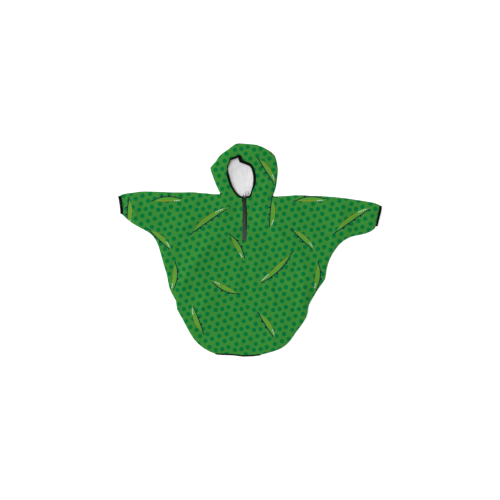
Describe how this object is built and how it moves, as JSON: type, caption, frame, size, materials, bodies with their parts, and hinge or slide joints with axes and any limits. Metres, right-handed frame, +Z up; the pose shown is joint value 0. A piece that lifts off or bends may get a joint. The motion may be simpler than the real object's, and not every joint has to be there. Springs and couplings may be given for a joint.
{
  "type": "dog rain poncho",
  "caption": "Hooded pull-on rain poncho with cut-in-one sleeves and a short throat zip, laid flat, its pull tab hinged.",
  "frame": {"origin": "centre of the bounding box's underside, on the surface that the poncho lies on", "axes": "+Z up off that surface, out of the garment's front; +Y from the hem towards the hood; +X to the right as the front is looked at"},
  "size_m": [0.8244, 0.6668, 0.0125],
  "materials": {
    "shell": "smooth coated rain cloth with a satin sheen",
    "lining": "matt pale lining",
    "binding": "matt black binding",
    "tape": "charcoal woven zip tape",
    "coil": "charcoal nylon coil",
    "metal": "silver-grey cast metal"
  },
  "bodies": {
    "garment": {"back_body": "shell", "front_body": "shell", "hood_back": "shell", "hood_front": "shell", "hood_lining": "lining", "face_binding": "binding", "cuff_binding_left": "binding", "cuff_binding_right": "binding", "hem_binding_front": "binding", "hem_binding_back": "binding", "zip_tape_left": "tape", "zip_tape_right": "tape", "zip_coil": "coil", "zip_slider": "metal"},
    "pull": {"zip_pull": "metal"}
  },
  "joints": [
    {"name": "pull_hinge", "type": "hinge", "parent": "garment", "child": "pull", "pos_m": [-0.01705, 0.17, 0.01024], "axis": [0.7431, -0.6691, 0], "range_deg": [0, 180]}
  ]
}
